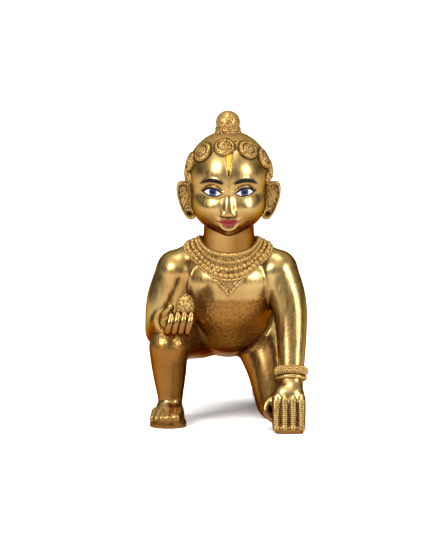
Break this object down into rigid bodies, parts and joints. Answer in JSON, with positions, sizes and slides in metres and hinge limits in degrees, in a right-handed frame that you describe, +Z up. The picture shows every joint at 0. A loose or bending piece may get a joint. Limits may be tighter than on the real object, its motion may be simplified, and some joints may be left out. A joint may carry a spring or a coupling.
{
  "type": "laddu gopal idol",
  "caption": "Small cast brass idol of a crawling infant deity: one knee and one hand on the floor, one foot flat, a sweet ball held in the raised hand, curled hair with a top knot.",
  "frame": {"origin": "on the floor, under the middle of the idol's box", "axes": "+Z up along the idol's height, -Y the way the idol faces, +X towards its own left hand"},
  "size_m": [0.0661, 0.0919, 0.127],
  "materials": {
    "polished_brass": "hand polished, with darker metal in the hollows",
    "chased_brass": "matte, stippled with a punch",
    "enamel": "gloss hand-painted enamel on the eyes, brows, lips and forehead"
  },
  "bodies": {
    "root": {"idol": "polished_brass"}
  },
  "joints": []
}
